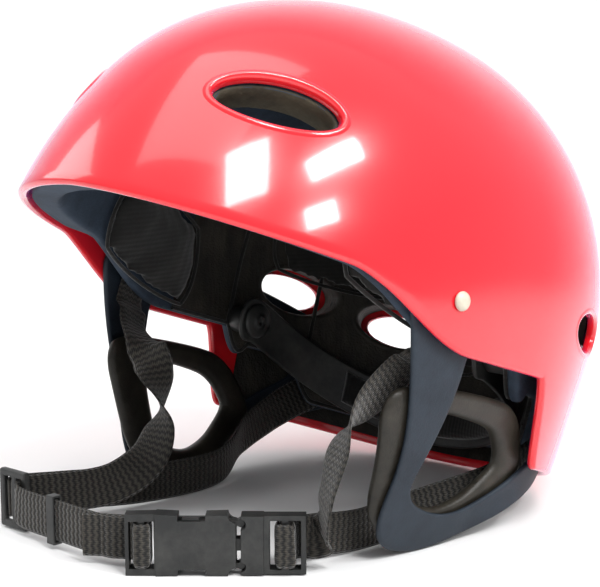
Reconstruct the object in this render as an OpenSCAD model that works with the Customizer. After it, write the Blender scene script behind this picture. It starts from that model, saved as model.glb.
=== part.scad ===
// Water helmet: hard shell, foam liner, ear guards, fit cradle, chin harness.
// Millimetres, +Z up, standing on the table on its ear guards and nape edge.
// +X is the wearer's left, -Y is the front of the helmet.

/* [Shell] */
// half width of the shell at its widest
half_w = 104; // [90:1:120]
// length of the shell ahead of its widest place
front_l = 158; // [135:1:180]
// length of the shell behind its widest place
rear_l = 135; // [115:1:155]
// height of the crown above the widest ring
crown_h = 126; // [108:1:145]
// roundness of the dome in side view
dome_n = 2.13; // [1.8:0.05:2.6]
// roundness of the plan
plan_q = 2.15; // [2:0.05:2.5]
// how much narrower the front of the plan is than the rear
egg = 0.09; // [0:0.01:0.16]
// shell wall thickness
shell_t = 4; // [3:0.5:6]
// flare of the front brim
lip = 4.3; // [2:0.1:8]
// inward lean of the sides below the widest ring
side_in = 0.05; // [0:0.01:0.1]
// inward lean of the nape below the widest ring
nape_in = 0.18; // [0.1:0.01:0.25]
// height of the brim at the middle of the front
brim_z = 11; // [5:1:18]
// drop of the brim from the middle to the temple
brim_fall = 9; // [4:1:14]
// extra drop of the edge over the ear
ear_step = 22; // [15:1:28]
// extra drop of the edge to the nape flap
nape_step = 38; // [28:1:46]

/* [Vents] */
// length of a front vent
vent_l = 50; // [40:1:58]
// height of a front vent
vent_h = 20; // [15:1:24]
// height of the front vents above the widest ring
vent_z = 58; // [50:1:66]
// length of a rear vent
rear_vent_l = 39; // [30:1:44]
// height of a rear vent
rear_vent_h = 16.5; // [12:0.5:20]

/* [Liner and pads] */
// foam liner thickness
liner_t = 13; // [10:0.5:16]
// comfort pad thickness
pad_t = 7; // [5:0.5:9]

/* [Ear guards] */
// ear guard panel thickness
guard_t = 2.5; // [2:0.1:3.5]
// depth of the guard tip below the widest ring
guard_low = 102; // [92:1:112]
// inward lean of the guard at its tip
guard_lean = 19; // [12:1:24]
// ear pad thickness
ear_pad_t = 8; // [6:0.5:10]

/* [Fit cradle] */
// height of the cradle band
band_h = 20; // [15:1:25]
// thickness of the cradle band
band_t = 2.2; // [1.6:0.1:3]
// pivot disc diameter
disc_d = 17; // [13:1:21]

/* [Harness] */
// webbing width
web_w = 18; // [15:0.5:21]
// webbing thickness
web_t = 1.4; // [1:0.1:1.8]
// buckle height
buckle_h = 25; // [22:0.5:29]
// buckle thickness
buckle_t = 9; // [8:0.5:11]
// rivet head diameter
rivet_d = 8; // [6:0.5:10]

/* [Stance] */
// backward tilt of the helmet on the table
tilt = 18; // [14:1:22]
// height of the widest ring above the table
stand_h = 96.5; // [92:0.5:102]

/* [Hidden] */
$fn = 32;
shift_y = 8.7;
skin_gap = 1;
pad_gap = 0.9;
web_gap = 0.9;

// bearings off the front between which the edge steps down behind the ear
nape_from = 100;
nape_to = 107;
function ease(a, b, x) = let (s = min(max((x - a) / (b - a), 0), 1)) s * s * (3 - 2 * s);
function off_front(t) = abs(((t + 630) % 360) - 180);
function spow(v, m) = sign(v) * pow(abs(v), m);
function edge_z(u) = brim_z - brim_fall * pow(min(u / 62, 1), 1.3) - ear_step * ease(57, 82, u)
    - nape_step * ease(nape_from, nape_to, u) - 5 * ease(nape_to, 180, u);

// point on the dome at bearing t and height z, d inside the outer face
function wall(t, z, d) = let (
    u = off_front(t), m = 2 / plan_q, hh = crown_h - d,
    x = (half_w - d) * spow(cos(t), m) * (1 + egg * (sin(t) - 0.15)),
    y = ((sin(t) < 0 ? front_l : rear_l) - d) * spow(sin(t), m),
    low = max(20 - z, 0) / 100,
    sides = side_in * ease(20, 60, u) * (1 - ease(110, 170, u)),
    flare = lip * ease(95, 25, u) * pow(min(max((62 - z) / 40, 0), 1.6), 1.6),
    k = pow(1 - pow(min(max(z / hh, 0), 1), dome_n), 1 / dome_n)
        - (sides + nape_in * ease(95, 170, u)) * pow(low, 1.6) + flare / norm([x, y]))
    [x * k, y * k, z];

// one upright line of points from the edge to just short of the crown
function rib_z(t, j, n, d, up) = let (e = edge_z(off_front(t)) + up, hh = crown_h - d,
    a = asin(e / hh)) hh * sin(a + (90 - a) * pow(j / n, 0.92));

// closed solid between two grids of points; ring joins the sides, pole closes the top
module slab(a, b, ring = false, pole = false) {
    nj = len(a);
    ni = len(a[0]);
    base = nj * ni;
    last = ring ? ni - 1 : ni - 2;
    top = nj - (pole ? 1 : 0);
    pts = concat([for (r = a) each r], [for (r = b) each r]);
    faces = concat(
        [for (j = [0 : top - 2], i = [0 : last]) let (p = j * ni + i, q = j * ni + (i + 1) % ni)
            each [[p, p + ni, q + ni], [p, q + ni, q],
                [base + p, base + q + ni, base + p + ni], [base + p, base + q, base + q + ni]]],
        [for (i = [0 : last]) let (p = i, q = (i + 1) % ni)
            each [[p, q, base + q], [p, base + q, base + p]]],
        pole ? [for (i = [0 : last]) let (p = (top - 1) * ni + i,
                q = (top - 1) * ni + (i + 1) % ni, c = top * ni)
            each [[p, c, q], [base + p, base + q, base + c]]]
        : [for (i = [0 : last]) let (p = (nj - 1) * ni + i, q = (nj - 1) * ni + (i + 1) % ni)
            each [[q, p, base + p], [q, base + p, base + q]]],
        ring ? [] : [for (j = [0 : nj - 2]) let (p = j * ni, q = j * ni + ni - 1)
            each [[p + ni, p, base + p], [p + ni, base + p, base + p + ni],
                [q, q + ni, base + q + ni], [q, base + q + ni, base + q]]]);
    polyhedron(points = pts, faces = faces, convexity = 8);
}

module helmet_frame() {
    translate([0, shift_y, stand_h]) rotate([-tilt, 0, 0]) children();
}

module both_sides() {
    children();
    mirror([1, 0, 0]) children();
}

half_turn = concat([for (u = [0 : 7 : 56]) u], [60, 64, 68, 72, 77, 82, 88, 94,
    for (s = [0 : 0.2 : 1]) nape_from + s * (nape_to - nape_from)], [for (u = [112 : 7 : 175]) u]);
bearings = concat([for (u = half_turn) u - 90], [180 - 90],
    [for (i = [len(half_turn) - 1 : -1 : 1]) 270 - half_turn[i]]);
shell_rows = 12;

function dome_row(j, n, d, up) = [for (t = bearings) j == n ? [0, 0, crown_h - d]
    : wall(t, rib_z(t, j, n, d, up), d)];

// upright frame on the dome: x along the wall, y up the wall, z outwards
module on_wall(t, z, d = 0) {
    p = wall(t, z, d);
    a = wall(t + 1, z, d) - wall(t - 1, z, d);
    b = wall(t, z + 1, d) - wall(t, z - 1, d);
    ex = a / norm(a);
    n0 = cross(ex, b);
    ez = n0 / norm(n0);
    ey = cross(ez, ex);
    multmatrix([[ex.x, ey.x, ez.x, p.x], [ex.y, ey.y, ez.y, p.y], [ex.z, ey.z, ez.z, p.z],
        [0, 0, 0, 1]]) children();
}

module oval(l, h, reach) {
    scale([1, h / l, 1]) cylinder(d = l, h = reach, center = true);
}

front_vent_t = -53;
rear_vents = [[65, -2], [29, 6]];
vent_reach = 60;

// ovals straight through the wall, the front and rear ones opened by their own amounts
module vent_cuts(front, rear) {
    both_sides() {
        on_wall(front_vent_t, vent_z) oval(vent_l + front, vent_h + front, vent_reach);
        for (v = rear_vents) on_wall(v[0], v[1])
            oval(rear_vent_l + rear, rear_vent_h + rear, vent_reach);
    }
}

temple_at = [-12.8, 0.4];
nape_at = [51, -33];
shank_d = rivet_d / 2;
bore_d = shank_d + 0.8;
crown_y = -12;

module rivet_bores() {
    both_sides() {
        on_wall(temple_at[0], temple_at[1]) cylinder(d = bore_d, h = 30, center = true);
        on_wall(nape_at[0], nape_at[1]) cylinder(d = bore_d, h = 30, center = true);
    }
    translate([0, crown_y, crown_h - 20]) cylinder(d = bore_d, h = 40);
}

module outer_shell() {
    color("#c8202a") helmet_frame() difference() {
        slab([for (j = [0 : shell_rows]) dome_row(j, shell_rows, 0, 0)],
            [for (j = [0 : shell_rows]) dome_row(j, shell_rows, shell_t, 0)], true, true);
        vent_cuts(0, 0);
        rivet_bores();
    }
}

// the liner steps in behind the ear guards, the webbing and the rivet tails
liner_d = shell_t + skin_gap;
liner_lap = 3;
guard_d = shell_t + 1.1;
tail_d = guard_d + guard_t + 2 * web_gap + web_t;
tail_t = 1.2;
stack_d = tail_d + tail_t + 0.8;
function liner_out(t, z) = let (u = off_front(t)) liner_d
    + (stack_d - liner_d) * ease(54, 60, u) * (1 - ease(149, 155, u)) * (1 - ease(12, 20, z));
function liner_edge(u) = 1 + ease(nape_from + 1, nape_to + 1, u) * (30 - 20 * ease(120, 132, u));
function liner_row(j, n, inner) = [for (t = bearings) let (
    d = liner_d + (inner ? liner_t : 0),
    z = rib_z(t, j, n, d, liner_edge(off_front(t))))
    j == n ? [0, 0, crown_h - d] : wall(t, z, inner ? d : liner_out(t, z))];

module foam_liner() {
    color("#5a6877") helmet_frame() difference() {
        slab([for (j = [0 : shell_rows]) liner_row(j, shell_rows, false)],
            [for (j = [0 : shell_rows]) liner_row(j, shell_rows, true)], true, true);
        vent_cuts(-liner_lap, liner_lap * 2);
        translate([0, crown_y, crown_h - liner_d - 5]) cylinder(d = rivet_d + 3, h = 12);
    }
}

// soft slab on the liner: rounded patch centred at bearing t, height z
pad_d = liner_d + liner_t + pad_gap;
function disc_xy(a, b) = [a * sqrt(1 - b * b / 2), b * sqrt(1 - a * a / 2)];
function patch(tc, zc, tw, zw, lean, d, bulge, n, m) = [for (j = [0 : m]) [for (i = [0 : n])
    let (a = -1 + 2 * i / n, b = -1 + 2 * j / m, q = (disc_xy(a, b) + [a, b]) / 2,
        swell = bulge * (1 - pow(max(abs(a), abs(b)), 4)))
    wall(tc + tw * q.x, zc + zw * q.y + lean * q.x, d + swell)]];

module wall_pad(tc, zc, tw, zw, t = pad_t, d = pad_d, n = 12, m = 10, lean = 0) {
    slab(patch(tc, zc, tw, zw, lean, d, 0, n, m),
        patch(tc, zc, tw, zw, lean, d + t * 0.6, t * 0.4, n, m));
}

module brow_pad() { color("#1d1e20") helmet_frame() wall_pad(-90, 30, 24, 15, pad_t, pad_d, 14, 6); }
module temple_pad() { wall_pad(-18, 11, 15, 22, lean = -9); }
module temple_pad_left() { color("#1d1e20") helmet_frame() temple_pad(); }
module temple_pad_right() { color("#1d1e20") helmet_frame() mirror([1, 0, 0]) temple_pad(); }
module rear_pad() { wall_pad(45, 32, 27, 20, pad_t * 0.7, pad_d + 0.4); }
module rear_pad_left() { color("#26272a") helmet_frame() rear_pad(); }
module rear_pad_right() { color("#26272a") helmet_frame() mirror([1, 0, 0]) rear_pad(); }
module rear_pad_centre() { color("#26272a") helmet_frame() wall_pad(90, 14, 9, 33, pad_t * 0.7, pad_d + 0.4); }

function roof(x, y, d) = let (w = half_w - d, l = (y < 0 ? front_l : rear_l) - d,
    r = pow(pow(abs(x) / w, plan_q) + pow(abs(y) / l, plan_q), 1 / plan_q))
    [x, y, (crown_h - d) * pow(1 - pow(r, dome_n), 1 / dome_n)];
crown_pad_w = half_w * 0.36;
crown_pad_l = half_w * 0.5;
crown_pad_y = 10;
function crown_grid(d, bulge) = [for (j = [0 : 8]) [for (i = [0 : 8])
    let (a = -1 + i / 4, b = -1 + j / 4, q = (disc_xy(a, b) + [a, b]) / 2,
        swell = bulge * (1 - pow(max(abs(a), abs(b)), 4)))
    roof(crown_pad_w * q.x, crown_pad_y + crown_pad_l * q.y, d + swell)]];
module crown_pad() {
    color("#1d1e20") helmet_frame() slab(crown_grid(pad_d + 0.5, 0),
        crown_grid(pad_d + 0.5 + pad_t * 0.6, pad_t * 0.4));
}

// ear guard: a loop between a window curve and an outer curve, in bearing and height
function loop_at(c, k, s) = let (n = len(c), p = c[k], q = c[(k + 1) % n], r = c[(k + 2) % n])
    pow(1 - s, 2) * (p + q) / 2 + 2 * s * (1 - s) * q + s * s * (q + r) / 2;
function loop(c, m) = [for (k = [0 : len(c) - 1], i = [0 : m - 1]) loop_at(c, k, i / m)];
function guard_in(t, z) = guard_lean * (1 - ease(8, 30, t)) * pow(max(-8 - z, 0) / 95, 2.2);
function guard_wall(t, z, d) = let (w = wall(t, z, d)) [w.x - guard_in(t, z), w.y, w.z];
outer_loop = [[-22, 8], [0, 10], [30, 2], [56, -16], [56, -42], [32, -60], [8, -guard_low + 8],
    [-4, -guard_low - 3.2], [-11.5, -guard_low + 6], [-13, -62], [-18, -26]];
window_loop = [[-7, -12], [2, -10], [16, -12], [34, -20], [37, -34], [24, -50], [9, -78],
    [0, -86], [-9, -80], [-8, -58], [-7, -34]];
function loop_grid(a, b, rows, d0, d1) = [for (j = [0 : rows]) let (s = j / rows)
    [for (i = [0 : len(a) - 1]) let (p = a[i] * (1 - s) + b[i] * s)
        guard_wall(p.x, p.y, d0 + (d1 - d0) * (1 - pow(2 * s - 1, 4)))]];

module ear_guard() {
    w = loop(window_loop, 4);
    o = loop(outer_loop, 4);
    difference() {
        slab(loop_grid(w, o, 4, guard_d, guard_d), loop_grid(w, o, 4, guard_d + guard_t,
            guard_d + guard_t), true);
        rivet_bores();
    }
}
module ear_guard_left() { color("#4c5866") helmet_frame() ear_guard(); }
module ear_guard_right() { color("#4c5866") helmet_frame() mirror([1, 0, 0]) ear_guard(); }

// the ear pad follows the guard below the shell edge
pad_out = [[-17, -35], [2, -32], [13, -34], [23, -56], [22, -64], [18, -74], [6, -guard_low + 10],
    [-5, -guard_low + 3], [-13, -guard_low + 12], [-16.5, -64], [-19.5, -47]];
pad_in = [[-8, -43], [2, -44], [8, -46], [13, -56], [13, -60], [11, -66], [7, -76],
    [0, -84], [-6, -80], [-8, -62], [-9, -50]];
ear_pad_d = guard_d + guard_t + 0.7;
module ear_pad() {
    w = loop(pad_in, 4);
    o = loop(pad_out, 4);
    slab(loop_grid(w, o, 4, ear_pad_d, ear_pad_d),
        loop_grid(w, o, 4, ear_pad_d + ear_pad_t * 0.5, ear_pad_d + ear_pad_t), true);
}
module ear_pad_left() { color("#17181a") helmet_frame() ear_pad(); }
module ear_pad_right() { color("#17181a") helmet_frame() mirror([1, 0, 0]) ear_pad(); }

// fit cradle: a band from pivot to pivot round the nape, turning about the pivots
pivot_y = 28;
pivot_z = -14;
cradle_d = pad_d + pad_t + 3;
pivot_x = half_w - cradle_d - 4;
cradle_reach = rear_l - cradle_d - 8 - pivot_y;
function cradle_pt(a, z, d) = let (s = sin(a), c = cos(a), m = 2 / plan_q,
    sag = 30 * pow(max(s, 0), 1.2),
    sc = abs(90 - a) > 82 ? 1 : cos(90 * (1 - abs(90 - a) / 82)))
    [(pivot_x - d) * sign(c) * spow(sc, m), pivot_y + (cradle_reach - d) * s, pivot_z - sag + z];
module cradle_band() {
    arc = [for (a = [-8 : 4 : 188]) a];
    difference() {
        slab([for (j = [0 : 2]) [for (a = arc) cradle_pt(a, band_h * (j / 2 - 0.5), 0)]],
            [for (j = [0 : 2]) [for (a = arc) cradle_pt(a, band_h * (j / 2 - 0.5), band_t)]]);
        translate([0, pivot_y, pivot_z]) rotate([0, 90, 0])
            cylinder(d = disc_d * 0.45 + 0.8, h = 2 * half_w, center = true);
        both_sides() translate([pivot_x * 0.38, pivot_y + cradle_reach * 0.93, pivot_z - 27])
            rotate([90, 0, 0]) linear_extrude(60, center = true) hull() {
                translate([-5, 0]) circle(d = 5);
                translate([5, 0]) circle(d = 5);
            }
    }
}
module rear_cradle() { color("#1a1b1c") helmet_frame() cradle_band(); }
module cradle_pivots() {
    reach = wall(12, pivot_z, pad_d + 0.6).x - pivot_x;
    color("#222324") helmet_frame() both_sides() translate([pivot_x, pivot_y, pivot_z])
        rotate([0, 90, 0]) {
            translate([0, 0, -band_t - 0.4 - 2]) cylinder(d = disc_d, h = 2);
            translate([0, 0, -band_t - 1]) cylinder(d = disc_d * 0.45, h = reach + band_t + 0.4);
            translate([0, 0, 1]) cylinder(d = disc_d * 0.8, h = reach - 1.5);
        }
}
module cradle_pad() {
    arc = [for (a = [50 : 5 : 130]) a];
    pad_h = band_h * 0.8;
    color("#2a2b2e") helmet_frame()
        slab([for (j = [0 : 3]) [for (a = arc) cradle_pt(a, pad_h * (j / 3 - 0.5) , band_t + 0.4)]],
            [for (j = [0 : 3]) [for (a = arc) cradle_pt(a, pad_h * (j / 3 - 0.5), band_t + 4)]]);
}

module rivet(tail) {
    color("#e8dcc0") {
        translate([0, 0, 0.7]) rotate_extrude() intersection() {
            scale([1, 0.55]) circle(d = rivet_d);
            square(rivet_d);
        }
        translate([0, 0, -tail]) cylinder(d = shank_d, h = tail + 0.9);
        translate([0, 0, -tail - tail_t]) cylinder(d = rivet_d, h = tail_t);
    }
}
module temple_rivets() {
    helmet_frame() both_sides() on_wall(temple_at[0], temple_at[1]) rivet(tail_d);
}
module nape_rivets() { helmet_frame() both_sides() on_wall(nape_at[0], nape_at[1]) rivet(tail_d); }
module crown_rivet() {
    helmet_frame() translate([0, crown_y, crown_h - 0.1]) rivet(shell_t + 1.6);
}

// webbing: a flat ribbon through centres c with width directions w
function spline(p, k, s) = let (n = len(p), a = p[max(k - 1, 0)], b = p[k], c = p[min(k + 1, n - 1)],
    d = p[min(k + 2, n - 1)]) 0.5 * (2 * b + (c - a) * s + (2 * a - 5 * b + 4 * c - d) * s * s
    + (3 * b - a - 3 * c + d) * s * s * s);
function path(p, m) = concat([for (k = [0 : len(p) - 2], i = [0 : m - 1]) spline(p, k, i / m)],
    [p[len(p) - 1]]);
function unit(v) = v / norm(v);
function along(c, i) = unit(c[min(i + 1, len(c) - 1)] - c[max(i - 1, 0)]);
module ribbon(c, w, width = web_w, thick = web_t) {
    n = len(c) - 1;
    side = [for (i = [0 : n]) let (f = along(c, i)) unit(w[i] - f * (f * w[i]))];
    up = [for (i = [0 : n]) cross(along(c, i), side[i]) * thick / 2];
    slab([for (s = [-0.5, 0, 0.5]) [for (i = [0 : n]) c[i] + side[i] * width * s - up[i]]],
        [for (s = [-0.5, 0, 0.5]) [for (i = [0 : n]) c[i] + side[i] * width * s + up[i]]]);
}

function to_table(p) = [p.x, shift_y + p.y * cos(tilt) + p.z * sin(tilt),
    stand_h - p.y * sin(tilt) + p.z * cos(tilt)];
function turn(v) = [v.x, v.y * cos(tilt) + v.z * sin(tilt), -v.y * sin(tilt) + v.z * cos(tilt)];
web_d = guard_d + guard_t + web_gap + web_t / 2;
web_z = web_w / 2 + 0.6;

// buckle frame: u along the buckle, v away from the wearer's mouth, z up
buckle_turn = 41;
buckle_at = [3, -129 + shift_y, buckle_h / 2];
function buckle_pt(u, v, z) = buckle_at + [u * cos(buckle_turn) - v * sin(buckle_turn),
    u * sin(buckle_turn) + v * cos(buckle_turn), z];
module buckle_frame() { translate(buckle_at) rotate([0, 0, buckle_turn]) children(); }

// bearing, height and extra depth of the webbing inside the helmet
front_run = [[-12.8, 8, 0], [-12.8, -6, 0], [-13.5, -19, 0.4], [-14.5, -24, 5], [-16, -31, 10]];
nape_run = [[57, -33, 0], [46, -37, 0], [38, -46, 1], [30, -57, 5], [20, -70, 11]];
function run_on(r, k) = [for (p = r) let (q = to_table(guard_wall(p[0], p[1], web_d + p[2])))
    [k * q.x, q.y, q.z]];
// width directions along those runs: across is 1 for level, 0 for upright
function run_w(r, k, across) = [for (p = r) let (a = across, b = 1 - across,
    q = turn(wall(p[0] + a, p[1] + b, web_d) - wall(p[0] - a, p[1] - b, web_d)))
    [k * q.x, q.y, q.z]];
module front_strap_left() {
    c = concat(run_on(front_run, 1), [[71, -72 + shift_y, 60], [66, -80 + shift_y, 32],
        buckle_pt(78, 6, 2), buckle_pt(69, 5.2, 1), buckle_pt(67.3, 0, 1)]);
    w = concat(run_w(front_run, 1, 1), [[-0.5, 0.8, 0.1], [-0.7, 0.5, 0.5], [-0.2, 0.1, 1], [0, 0, 1], [0, 0, 1]]);
    color("#161719") difference() {
        ribbon(path(c, 4), path(w, 4));
        helmet_frame() rivet_bores();
    }
}
slider_at = [-77, -121 + shift_y, web_w / 2 + 4.6];
module front_strap_right() {
    c = concat(run_on(front_run, -1), [[-62.9, -55.6 + shift_y, 72.3],
        [-55.7, -56.9 + shift_y, 61], [-51.4, -58.4 + shift_y, 49.9], [-48.7, -62.5 + shift_y, 38.2],
        [-48.7, -68.8 + shift_y, 27.5], [-52.3, -78.9 + shift_y, 19.7], [-59.4, -90.5 + shift_y, 15.6],
        [-75.5, -109.5 + shift_y, 14], slider_at + [-2.7, 6, 0], slider_at + [-2.7, 0, 0]]);
    // half a turn of twist on the way down
    w = concat(run_w(front_run, -1, 1), [[0.45, 0.75, 0.45], [0, 0.9, 0.35], [-0.62, 0.76, 0],
        [-0.93, -0.15, -0.08], [-0.8, -0.37, 0.27], [-0.43, -0.19, 0.89], [-0.1, 0, 1],
        [0, 0, 1], [0, 0, 1], [0, 0, 1]]);
    color("#161719") difference() {
        ribbon(path(c, 4), path(w, 4));
        helmet_frame() rivet_bores();
    }
}
module rear_strap_left() {
    c = concat(run_on(nape_run, 1), [[58, -16 + shift_y, web_z + 1], [55, -48 + shift_y, web_z],
        buckle_pt(74, 14, -1), buckle_pt(62, 8.2, -1), buckle_pt(59.8, 0, -1)]);
    w = concat(run_w(nape_run, 1, 0), [[-0.1, 0, 1], [0, 0, 1], [0, 0, 1], [0, 0, 1], [0, 0, 1]]);
    color("#141516") difference() {
        ribbon(path(c, 4), path(w, 4));
        helmet_frame() rivet_bores();
    }
}
module rear_strap_right() {
    c = concat(run_on(nape_run, -1), [[-58, -16 + shift_y, web_z + 1],
        [-64, -56 + shift_y, web_z], [-77, -92 + shift_y, web_z + 2],
        slider_at + [-4.9, 7, 0], slider_at + [-4.9, 0, 0]]);
    w = concat(run_w(nape_run, -1, 0), [[0.1, 0, 1], [0, 0, 1], [0, 0, 1], [0, 0, 1], [0, 0, 1]]);
    color("#141516") difference() {
        ribbon(path(c, 4), path(w, 4));
        helmet_frame() rivet_bores();
    }
}
keeper_from = [-64, -126 + shift_y, buckle_h / 2];
keeper_to = [-24, -128 + shift_y, buckle_h / 2];
module chin_strap() {
    c = [slider_at + [3.6, 0, 0], slider_at + [4.6, -3.6, 0], keeper_from,
        (keeper_from + keeper_to) / 2, keeper_to, buckle_pt(-8, 8.5, 0), buckle_pt(1.5, 6.2, 0),
        buckle_pt(3.4, 0, 0)];
    color("#1a1b1d") ribbon(path(c, 4), [for (i = [0 : 28]) [0, 0, 1]]);
}
module strap_slider() {
    color("#131415") translate(slider_at) difference() {
        translate([-0.5, 0, 0]) cube([17, 3, web_w + 8], center = true);
        translate([-3.8, 0, 0]) cube([5, 20, web_w + 1.6], center = true);
        translate([3.6, 0, 0]) cube([3.6, 20, web_w + 1.6], center = true);
    }
}
module strap_keeper() {
    dir = atan2(keeper_to.y - keeper_from.y, keeper_to.x - keeper_from.x);
    mid = (keeper_from + keeper_to) / 2;
    color("#222326") translate(mid) rotate([0, 0, dir]) difference() {
        cube([5, web_t + 3.2, web_w + 3], center = true);
        cube([8, web_t + 1.2, web_w + 1.2], center = true);
    }
}

// side-release buckle: socket with two side windows, plug with two springing arms
socket_end = 44;
socket_floor = 15;
wall_b = 1.8;
loop_l = 13;
loop_slot = 3.8;
loop_slots = [3.4, 9.6];
slot_play = 1.4;
window_at = 26.5;
window_l = 11;
mouth_r = 3.2;
module buckle_female() {
    color("#151617") buckle_frame() difference() {
        union() {
            translate([loop_l - 1, -buckle_t / 2, -buckle_h / 2])
                cube([socket_end - loop_l + 1, buckle_t, buckle_h]);
            translate([loop_l / 2, 0, 0]) cube([loop_l, buckle_t * 0.8, buckle_h], center = true);
        }
        for (u = loop_slots) translate([u, 0, 0])
            cube([loop_slot, 2 * buckle_t, web_w + slot_play], center = true);
        translate([socket_floor + socket_end / 2, 0, 0])
            cube([socket_end, buckle_t - 2 * wall_b, buckle_h - 2 * wall_b], center = true);
        for (s = [-1, 1]) translate([window_at, 0, s * buckle_h / 2])
            cube([window_l, 2 * buckle_t, 2 * wall_b + 1], center = true);
        for (s = [-1, 1]) translate([socket_end, 0, s * (buckle_h / 2)]) rotate([90, 0, 0])
            cylinder(r = mouth_r, h = 2 * buckle_t, center = true);
    }
}
// the plug: a body, a two-slot loop, a guide tongue and two arms on round roots
arm_root = 46;
plug_play = 1;
plug_body = 9;
plug_loop = [8.5, 17.4];
plug_slot = 4.8;
plug_slots = [13.8, 21.4];
tongue = [14, 5];
root_d = 3.2;
root_play = 0.4;
arm_z = buckle_h / 2 - wall_b - 2;
arm_l = 22;
arm_h = 2.2;
hook = [7, 1.9];
module buckle_male() {
    color("#151617") buckle_frame() translate([arm_root, 0, 0]) difference() {
        union() {
            translate([plug_body / 2, 0, 0])
                cube([plug_body, buckle_t, buckle_h - plug_play], center = true);
            translate([plug_loop[0] + plug_loop[1] / 2, 0, 0])
                cube([plug_loop[1], buckle_t * 0.8, buckle_h - plug_play], center = true);
            translate([1 - tongue[0] / 2, 0, 0])
                cube([tongue[0], buckle_t - 2 * wall_b - plug_play, tongue[1]], center = true);
        }
        for (u = plug_slots) translate([u, 0, 0])
            cube([plug_slot, 2 * buckle_t, web_w + slot_play + 0.6], center = true);
        for (s = [-1, 1]) translate([0, 0, s * arm_z]) rotate([90, 0, 0])
            cylinder(d = root_d + 2 * root_play, h = 2 * buckle_t, center = true);
    }
}
module arm(s) {
    depth = buckle_t - 2 * wall_b - plug_play;
    buckle_frame() translate([arm_root, 0, s * arm_z]) {
        rotate([90, 0, 0]) cylinder(d = root_d, h = depth, center = true);
        translate([-arm_l / 2, 0, 0]) cube([arm_l, depth, arm_h], center = true);
        translate([-arm_l + hook[0] / 2 - 1.5, 0, s * (arm_h + hook[1]) / 2 - s])
            cube([hook[0], depth, hook[1]], center = true);
    }
}
module buckle_arm_upper() { color("#1b1c1d") arm(1); }
module buckle_arm_lower() { color("#1b1c1d") arm(-1); }

outer_shell();
foam_liner();
brow_pad();
crown_pad();
temple_pad_left();
temple_pad_right();
rear_pad_left();
rear_pad_right();
rear_pad_centre();
ear_guard_left();
ear_guard_right();
ear_pad_left();
ear_pad_right();
rear_cradle();
cradle_pivots();
cradle_pad();
temple_rivets();
nape_rivets();
crown_rivet();
front_strap_left();
front_strap_right();
rear_strap_left();
rear_strap_right();
chin_strap();
strap_slider();
strap_keeper();
buckle_female();
buckle_male();
buckle_arm_upper();
buckle_arm_lower();
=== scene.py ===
import math
import bmesh
import bpy
import numpy as np
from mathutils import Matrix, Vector


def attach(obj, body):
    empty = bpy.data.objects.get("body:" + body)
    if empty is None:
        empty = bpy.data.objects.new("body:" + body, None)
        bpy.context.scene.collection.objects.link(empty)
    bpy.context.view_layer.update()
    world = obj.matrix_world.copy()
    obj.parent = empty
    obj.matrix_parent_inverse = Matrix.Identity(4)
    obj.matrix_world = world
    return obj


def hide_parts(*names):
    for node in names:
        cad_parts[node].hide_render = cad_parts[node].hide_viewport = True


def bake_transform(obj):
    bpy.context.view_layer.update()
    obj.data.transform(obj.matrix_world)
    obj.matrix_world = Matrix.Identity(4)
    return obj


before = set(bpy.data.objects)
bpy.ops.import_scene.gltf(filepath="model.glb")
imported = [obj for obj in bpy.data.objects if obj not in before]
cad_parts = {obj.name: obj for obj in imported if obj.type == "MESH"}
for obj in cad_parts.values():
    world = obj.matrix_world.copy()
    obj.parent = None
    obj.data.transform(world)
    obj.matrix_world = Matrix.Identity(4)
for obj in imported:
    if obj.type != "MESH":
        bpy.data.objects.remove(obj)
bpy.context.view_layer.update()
scene = bpy.context.scene
mm = 0.001

# ---- shader helpers

class Sock:
    # one shader value; arithmetic on it adds Math nodes
    def __init__(self, paint, link):
        self.paint, self.link = paint, link
    def __add__(self, o): return self.paint.maths("ADD", self, o)
    def __radd__(self, o): return self.paint.maths("ADD", o, self)
    def __sub__(self, o): return self.paint.maths("SUBTRACT", self, o)
    def __rsub__(self, o): return self.paint.maths("SUBTRACT", o, self)
    def __mul__(self, o): return self.paint.maths("MULTIPLY", self, o)
    def __rmul__(self, o): return self.paint.maths("MULTIPLY", o, self)
    def __truediv__(self, o): return self.paint.maths("DIVIDE", self, o)
    def __pow__(self, o): return self.paint.maths("POWER", self, o)


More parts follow.
